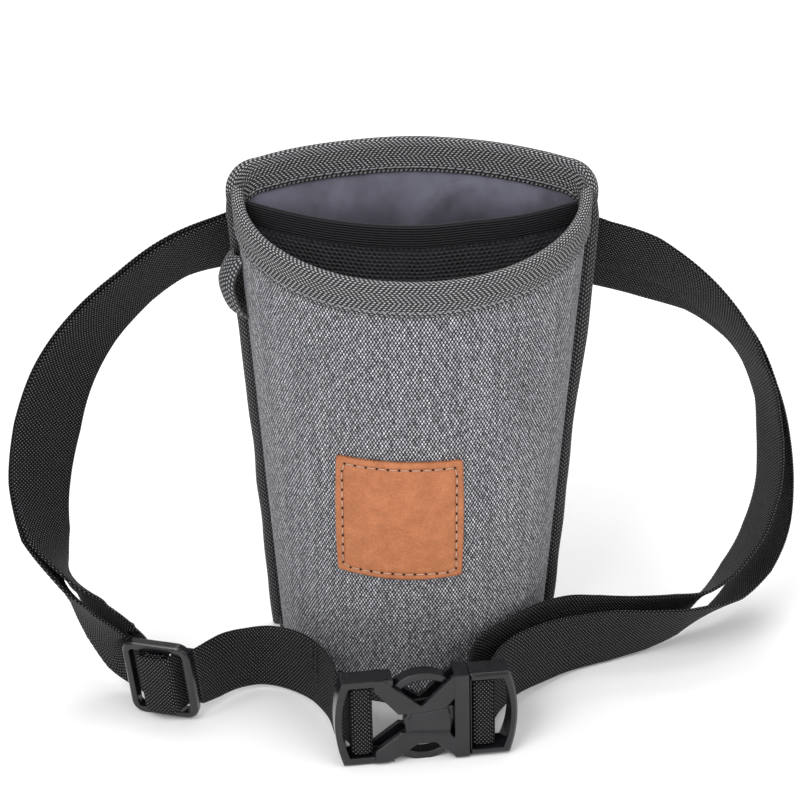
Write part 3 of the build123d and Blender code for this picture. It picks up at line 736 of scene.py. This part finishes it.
def build_base():
    """Base cloth, the stiffener inside and the tape round the front's lower edge."""
    def disc(name, low, high, inset, finish, replaces):
        rings = []
        for z, depth in ((low, inset + 0.6), (low, inset), (high, inset), (high, inset + 0.6)):
            ring = []
            for side in (-1, 1):
                for i in range(60):
                    angle = pi * i / 60 if side < 0 else pi - pi * i / 60
                    x, y, _ = on_wall(side, angle, max(z, 0), depth)
                    ring.append(Vector((x, y, z)))
            rings.append(ring)
        points, faces, uv = tube_of_loops(rings, [r[0].z for r in rings], [0.8 * k for k in range(121)])
        uv = [(points[v].x, points[v].y) for face in faces for v in face]
        return add_piece(name, points, faces, finish, "root", replaces, uv)

    cloth = disc("base_cloth", 0.0, FLOOR - 0.1, 0.0, "shell_fabric", ["base_panel"])
    disc("base_stiffener", FLOOR + 0.2, FLOOR + 1.8, LINING_IN + 0.55, "base_stiffener", ["base_board"])
    loops, lengths = [], []
    for i in range(141):
        angle = even_angle(-1, (i + 3) / 146)
        loop = []
        for out, z in ((0.3, 0.1), (1.0, 0.1), (1.25, 2.5), (1.0, 5.0), (0.3, 5.0)):
            loop.append(Vector(on_wall(-1, angle, z, -out)))
        lengths.append(lengths[-1] + (loop[0] - loops[-1][0]).length if loops else 0.0)
        loops.append(loop)
    points, faces, uv = tube_of_loops(loops, lengths, [0, 1, 3.5, 6, 7, 12])
    add_piece("base_tape", points, faces, "seam_tape", "root", ["base_binding"], uv)


def divider_point(share, z, forward=0.0):
    """Point on the divider; it bows forward and sags, with folds that deepen lower down."""
    x_share = 2 * share - 1
    reach = half_width(z) - LINING_IN - DIVIDER_CLEAR
    bow = at_height(1.8, 8.8, z) - 0.5
    low = min(1.0, max(0.0, (ELASTIC_TOP - z) / 60))
    fold = 3.4 * low * noise.noise(Vector((6 * x_share, 0.02 * z, 2.0)))
    fold += 1.5 * low * noise.noise(Vector((14 * x_share, 0.05 * z, 9.0)))
    fold *= 1 - x_share ** 4
    return (reach * x_share, DIVIDER_END_Y - bow * (1 - x_share * x_share) - forward + fold, z)


def elastic_drop(share):
    """Sag of the elastic between its ends, with a slight kink right of the middle."""
    x_share = 2 * share - 1
    kink = 0.7 * max(0.0, 1 - abs(x_share - 0.36) / 0.3)
    return -1.5 + 5.0 * (1 - x_share * x_share) - kink


def build_divider():
    """Ribbed elastic with a hexagonal net hanging from it."""
    count = 160
    ribs = 9
    loops, lengths = [], []
    for i in range(count + 1):
        share = i / count
        top = ELASTIC_TOP - elastic_drop(share)
        loop = []
        for side in (1, -1):
            for k in range(2 * ribs + 1):
                rise = k / (2 * ribs) if side > 0 else 1 - k / (2 * ribs)
                z = top - ELASTIC_TALL + ELASTIC_TALL * rise
                thick = 0.5 + 0.34 * (k % 2) + 0.05 * sin(1.9 * i)
                x, y, _ = divider_point(share, ELASTIC_TOP, side * thick)
                loop.append(Vector((x, y, z)))
        lengths.append(lengths[-1] + (loop[0] - loops[-1][0]).length if loops else 0.0)
        loops.append(loop)
    widths = [ELASTIC_TALL * k / (2 * ribs) for k in range(4 * ribs + 3)]
    points, faces, uv = tube_of_loops(loops, lengths, widths)
    add_piece("divider_elastic_band", points, faces, "elastic_band", "root", ["divider_elastic"], uv)

    cell = 1.0
    step_x, step_z = cell * sqrt(3), cell * 1.5
    columns, rows = int(104 / step_x), int((ELASTIC_TOP - ELASTIC_TALL - DIVIDER_LOW) / step_z)
    index, points, faces = {}, [], []

    def vertex(x, z):
        key = (round(x * 50), round(z * 50))
        if key not in index:
            index[key] = len(points)
            share = min(1.0, max(0.0, 0.5 + x / 105))
            height = ELASTIC_TOP - ELASTIC_TALL + 0.6 - elastic_drop(share) - DIVIDER_LOW
            points.append(divider_point(share, DIVIDER_LOW + z * height / (rows * step_z + cell)))
        return index[key]

    for r in range(rows + 1):
        for c in range(columns + 1):
            x = (c - columns / 2 + 0.5 * (r % 2)) * step_x
            z = r * step_z
            corners = [(x + cell * sin(pi * k / 3), z + cell * cos(pi * k / 3)) for k in range(6)]
            if all(abs(cx) <= 52.4 and cz >= 0 for cx, cz in corners):
                faces.append([vertex(*corner) for corner in corners])
    net = add_piece("divider_net", points, faces, "mesh_net", "root", ["mesh_divider"])
    wire = net.modifiers.new("strands", "WIREFRAME")
    wire.thickness = 0.74 * MM
    wire.use_replace = True
    wire.use_even_offset = False


def build_patch():
    """Leather patch with soft edges, a pressed groove and its stitches."""
    def surface(depth):
        def place(across, rise):
            u, v = 2 * across - 1, 2 * rise - 1
            half_w = PATCH_WIDE / 2 - 0.5 * v * v + 0.25
            half_t = PATCH_TALL / 2 - 0.4 * u * u + 0.2
            corner = max(0.0, abs(u) - 0.95) * max(0.0, abs(v) - 0.95) / 0.0025
            x = PATCH_X + u * half_w * (1 - 0.012 * corner)
            z = PATCH_Z + v * half_t * (1 - 0.012 * corner)
            from_edge = min((1 - abs(u)) * PATCH_WIDE / 2, (1 - abs(v)) * PATCH_TALL / 2)
            groove = 0.28 * max(0.0, 1 - abs(from_edge - 2.5) / 0.9)
            round_off = 0.5 * max(0.0, 1 - from_edge / 0.9) ** 2
            lift = depth - groove - round_off if depth > GAP else depth
            angle = atan2(sqrt(max(0.0, 1 - (x / half_width(z)) ** 2)), -x / half_width(z))
            return on_wall(-1, angle, z, -lift)
        return place

    shell(
        "leather_patch_piece", surface(GAP + PATCH_THICK), surface(GAP - 0.1), 90, 100,
        "patch_leather", ["leather_patch"])
    side, rise, radius = PATCH_WIDE / 2 - 2.3, PATCH_TALL / 2 - 2.3, 0.8
    outline = [
        (-side + radius, rise), (side - radius, rise), (side, rise - radius), (side, -rise + radius),
        (side - radius, -rise), (-side + radius, -rise), (-side, -rise + radius), (-side, rise - radius),
        (-side + radius, rise)]
    path, out = [], []
    for (ax, az), (bx, bz) in zip(outline, outline[1:]):
        steps = max(1, round(hypot(bx - ax, bz - az) / 3))
        for k in range(steps):
            x = PATCH_X + ax + (bx - ax) * k / steps
            z = PATCH_Z + az + (bz - az) * k / steps
            angle = atan2(sqrt(1 - (x / half_width(z)) ** 2), -x / half_width(z))
            path.append(Vector(on_wall(-1, angle, z, -GAP - PATCH_THICK - 0.02)))
            out.append(Vector((x / 55, -sin(angle), 0)).normalized())
    path.append(path[0])
    out.append(out[0])
    stitch_row("patch_stitches", path, out, 2.7, 3.7, 0.26, "patch_thread", ["patch_stitching"])
    # Dark beads where the thread enters the leather: painted shade for the stitch holes.
    stitch_row("patch_hole_shade_beads", path, out, 0.75, 3.7, 0.33, "stitch_hole_shade", shift=0.02)


def build_tab():
    """Loop of tape on the left seam, cupped across its width and turned a little to the front."""
    points = [(1.5, 153), (3.8, 151), (7.0, 143), (5.2, 134), (1.5, 130.5)]
    lean = Vector((-0.45, 0.89, 0)).normalized()
    rows = smooth_run([((-half_width(z) - out, TAB_Y, z), lean) for out, z in points], 0.6)
    across = [TAB_WIDTH * (k / 8 - 0.5) for k in range(9)]
    rings = []
    for i, (centre, _, _) in enumerate(rows):
        ahead, behind = rows[min(i + 1, len(rows) - 1)][0], rows[max(i - 1, 0)][0]
        face = lean.cross((ahead - behind).normalized()).normalized() * TAPE / 2
        middle = [centre + lean * t + Vector((TAB_CUP * t * t, 0, 0)) for t in across]
        rings.append([p + face for p in middle] + [p - face for p in reversed(middle)])
    lengths = [distance for _, _, distance in rows]
    widths = [TAB_WIDTH * k / 8 for k in range(9)] * 2 + [0]
    made, faces, uv = tube_of_loops(rings, lengths, widths)
    add_piece("side_tab_loop", made, faces, "tab_webbing", "root", ["side_tab"], uv)


def build_sleeve():
    """Band across the back, open at both sides, that the belt runs through."""
    def behind(near, far_share):
        def place(across, rise):
            u = 2 * across - 1
            z = SLEEVE_LOW + SLEEVE_TALL * rise
            x = -u * SLEEVE_HALF
            hem = min(rise, 1 - rise) * SLEEVE_TALL
            tuck = max(0.0, 1 - hem / (SLEEVE_HEM + 1)) ** 1.5
            wall = bulge(1, z) * sqrt(1 - (x / half_width(z)) ** 2) + 1.4 + far_share
            free = near - SLEEVE_BOW * u * u + 0.5 * noise.noise(Vector((0.06 * x, 0.08 * z, 3.3)))
            return (x, free + (wall - free) * tuck, z)
        return place

    sleeve = shell(
        "back_sleeve", behind(SLEEVE_FAR, 1.0), behind(SLEEVE_NEAR, 0.0), 110, 70,
        "shell_fabric", ["belt_sleeve"])
    outside, lift, out = behind(SLEEVE_FAR, 1.0), Vector((0, 0.08, 0)), Vector((0, 1, 0))
    for label, rise in (("low", 1.6 / SLEEVE_TALL), ("high", 1 - 1.6 / SLEEVE_TALL)):
        path = [Vector(outside(k / 40, rise)) + lift for k in range(41)]
        stitch_row(f"sleeve_stitches_{label}", path, [out] * 41, 2.0, 2.9, 0.28, "tape_thread")


# ---------------------------------------------------------------- the belt

LEFT_OUTER = [
    ((-0.6, 17.6, 150), (0, 0, 1)),
    ((-34, 15.6, 151), (0, -0.05, 1)),
    ((-50, 12.8, 151), (0, -0.2, 1)),
    ((-64, 9.4, 150), (0, -0.42, 0.9)),
    ((-79, 5.5, 146), (-0.15, -0.55, 0.8)),
    ((-93, 1, 137), (-0.25, -0.6, 0.75)),
    ((-107, -4, 124), (-0.4, -0.55, 0.75)),
    ((-117, -9, 109), (-0.55, -0.45, 0.7)),
    ((-123, -15, 92), (-0.7, -0.4, 0.6)),
    ((-126, -23, 74), (-0.65, -0.5, 0.55)),
    ((-124, -33, 59), (-0.5, -0.6, 0.6)),
    ((-118.5, -40.5, 47.5), (-0.1, -0.7, 0.7)),
    ((-111.5, -42, 36.5), (0, -0.6, 0.8)),
    ((-105.5, -42.8, 27.5), (0, -0.4, 0.9)),
    ((-100.6, -43.6, 20), (0, -0.2, 0.98)),
    ((-96.3, -44.5, 16.4), (-0.08, -0.1, 1)),
]
LEFT_GAPS = [2.0] * 10 + [2.4, 3.2, 4.4, 4.8, 4.8, 4.6]
RIGHT_OUTER = [
    ((0.6, 17.6, 147), (0, 0, 1)),
    ((34, 16.4, 144), (0, -0.05, 1)),
    ((50, 15.8, 141), (0, -0.2, 1)),
    ((64, 17.0, 136.5), (0, -0.42, 0.9)),
    ((81, 15.8, 131), (0.02, -0.5, 0.85)),
    ((98, 15.0, 123), (0.05, -0.65, 0.75)),
    ((111, 14.6, 111), (0.05, -0.7, 0.7)),
    ((120, 15, 95), (0.1, -0.8, 0.6)),
    ((126.5, 16.5, 74), (0.2, -0.85, 0.5)),
    ((129.5, 15.5, 52), (0.25, -0.8, 0.5)),
    ((128.5, 11, 34), (0.3, -0.85, 0.45)),
    ((121.5, 3, 21.5), (0.4, -0.8, 0.5)),
    ((111, -7.5, 14.5), (0.3, -0.75, 0.6)),
    ((97, -17, 12.9), (0.1, -0.6, 0.8)),
    ((84, -22.5, 12.9), (0, -0.4, 0.9)),
    ((70, -26, 13.1), (0, -0.2, 1)),
    ((56, -31, 13.4), (0, -0.1, 1)),
    ((45.5, -38, 14.5), (0, 0, 1)),
    ((36, -46, 15.5), (0, 0.05, 1)),
    ((30, -53.5, 15.2), (0, 0.1, 1)),
    ((26.6, -60.3, 14.6), (0, 0.12, 1)),
]
RIGHT_INNER = [
    ((0.6, 15.4, 150), (0, 0, 1)),
    ((34, 13.6, 150.5), (0, -0.05, 1)),
    ((50, 11.4, 150), (0, -0.2, 1)),
    ((64, 8.6, 148.5), (0, -0.42, 0.9)),
    ((78, 6.5, 144.5), (0.05, -0.45, 0.9)),
    ((93, 5, 135.5), (0.2, -0.65, 0.7)),
    ((106, 5, 122), (0.1, -0.75, 0.65)),
    ((115, 6.5, 107), (0.1, -0.85, 0.5)),
    ((121.5, 8, 91), (0.1, -0.85, 0.5)),
    ((124.5, 8.5, 72), (0.2, -0.85, 0.5)),
    ((124.5, 6.5, 53), (0.2, -0.8, 0.55)),
    ((120, 2, 37.5), (0.25, -0.8, 0.55)),
    ((112, -4, 26.5), (0.2, -0.8, 0.55)),
    ((103, -9, 19), (0.1, -0.75, 0.65)),
    ((92, -13, 15), (0, -0.5, 0.85)),
    ((78, -17, 14), (0, -0.3, 0.95)),
    ((64, -20, 14.3), (0, -0.1, 1)),
    ((53, -24, 16), (0, 0, 1)),
    ((42.5, -31, 17.5), (0, 0, 1)),
    ((32.5, -39.5, 17.5), (0, 0, 1)),
    ((24, -47.5, 17), (0, 0, 1)),
    ((20, -54.5, 15.6), (0, 0.06, 1)),
    ((18.7, -61.4, 14.6), (0, 0.12, 1)),
]
OUTER_LEAD, INNER_LEAD = 12, 13
BUCKLE_LEAD = [
    ((-72.1, -55.2, 17.4), (-0.08, -0.1, 1)),
    ((-65, -47, 16), (-0.05, 0, 1)),
    ((-58, -41.5, 14.8), (0.05, 0, 1)),
    ((-50, -39, 14.2), (0.1, 0, 1)),
    ((-41, -42, 14.4), (0.1, 0, 1)),
    ((-33.5, -49, 15.2), (0.05, 0, 1)),
    ((-27.8, -58.5, 15), (0, 0.06, 1)),
    ((-25.4, -66.4, 14.5), (0, 0.12, 1)),
]
# Folds round the hardware's bars: distances along the hardware and behind it.
PLUG_FOLD = [
    (23.8, 9), (23.0, 4), (22.6, -1.4), (21.4, -2.6), (17.2, -2.6), (16.0, -1.4), (16.0, 4), (15.8, 9)]
SOCKET_FOLD = [
    (-28.6, 10.0), (-26.4, 7.4), (-24.7, 4.0), (-24.5, -1.2), (-23.6, -2.6), (-19.4, -2.6),
    (-18.5, -1.2), (-18.5, 2.2), (-20.9, 5.2), (-24.4, 8.2), (-26.9, 11.2)]
SLIDER_FOLD = [
    (-13.5, 6.4), (-8.8, 3.6), (-6.0, -0.6), (-4.4, -3.9), (4.4, -3.9), (6.0, -0.6), (8.4, 2.8),
    (12.4, 3.2)]
ANCHOR_FOLD = [
    (-13.5, 11.0), (-8.0, 7.0), (-3.6, 2.6), (-3.0, -1.0), (-2.4, -2.2), (2.4, -2.2), (3.0, -1.0),
    (3.0, 1.6), (2.2, 2.2), (-1.8, 2.3)]


def folded(origin, turn, height, points):
    """Stations of webbing folded in a piece of hardware: (along, behind) in its own frame."""
    yaw, back, roll = (radians(angle) for angle in turn)
    spin = Matrix.Rotation(yaw, 3, "Z") @ Matrix.Rotation(pi / 2 - back, 3, "X")
    spin = spin @ Matrix.Rotation(roll, 3, "Z")
    up = spin @ Vector((0, 1, 0))
    return [(Vector(origin) + spin @ Vector((along, height / 2, -behind)), up) for along, behind in points]


def second_layer(stations, gaps):
    """Layer of webbing inside another one, at its own distance from each station."""
    moved = []
    for i, (centre, lean) in enumerate(stations):
        ahead = Vector(stations[min(i + 1, len(stations) - 1)][0])
        behind = Vector(stations[max(i - 1, 0)][0])
        face = Vector(lean).cross((ahead - behind).normalized()).normalized()
        moved.append((Vector(centre) + face * gaps[i], lean))
    return moved


def build_belt():
    """The belt's runs and folds."""
    for name, route in (("outer", LEFT_OUTER), ("inner", second_layer(LEFT_OUTER, LEFT_GAPS))):
        run = webbing(f"left_{name}_run", route, None, [f"belt_left_{name}"])
        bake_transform(run)
    for name, route, lead in (("outer", RIGHT_OUTER, OUTER_LEAD), ("inner", RIGHT_INNER, INNER_LEAD)):
        run = webbing(f"right_{name}_run", route, None,
                      [f"belt_right_{name}", f"belt_right_{name}_lead"])
        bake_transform(run)
    run = webbing("buckle_lead_run", BUCKLE_LEAD, None, ["belt_buckle_lead"])
    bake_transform(run)
    clear, out = Vector((0.51, 0.49, 0)) * WEB / 2 * -1.6, Vector((-0.7, -0.7, 0))
    for name, offset in (("near", 0.0), ("far", 2.6)):
        centre = Vector((-31.8 - 0.55 * offset, -51.4 + 0.83 * offset, 15.1))
        path = [centre + clear + Vector((0, 0, z)) for z in range(-11, 12)]
        stitch_row(f"lead_stitches_{name}", path, [out] * 23, 1.7, 2.3, 0.3, "belt_thread")
    buckle = (BUCKLE_ORIGIN, BUCKLE_TURN, BUCKLE_HEIGHT)
    slider = (SLIDER_ORIGIN, SLIDER_TURN, SLIDER_HEIGHT)
    webbing("plug_fold_webbing", folded(*buckle, PLUG_FOLD), "plug", ["belt_plug_fold"])
    webbing("socket_fold_webbing", folded(*buckle, SOCKET_FOLD), "root", ["belt_socket_fold"])
    webbing("slider_fold_webbing", folded(*slider, SLIDER_FOLD), "slider", ["belt_slider_fold"])
    webbing("anchor_fold_webbing", folded(*slider, ANCHOR_FOLD), "slider", ["belt_anchor_fold"])


def finish_hardware():
    """The CAD's buckle and slider keep their shapes and get the satin plastic."""
    for node in ("buckle_socket", "buckle_plug", "latch_arm_upper", "latch_arm_lower", "slider_frame"):
        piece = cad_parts[node]
        piece.data.materials.clear()
        piece.data.materials.append(MATERIALS["hardware_plastic"])


add_camera()
add_studio()
MATERIALS = make_materials()
build_walls()
build_rim("front", -1, front_rim, ["front_rim_binding"])
build_rim("back", 1, back_rim, ["back_rim_binding"])
build_side_seams()
build_base()
build_divider()
build_patch()
build_tab()
build_sleeve()
build_belt()
finish_hardware()
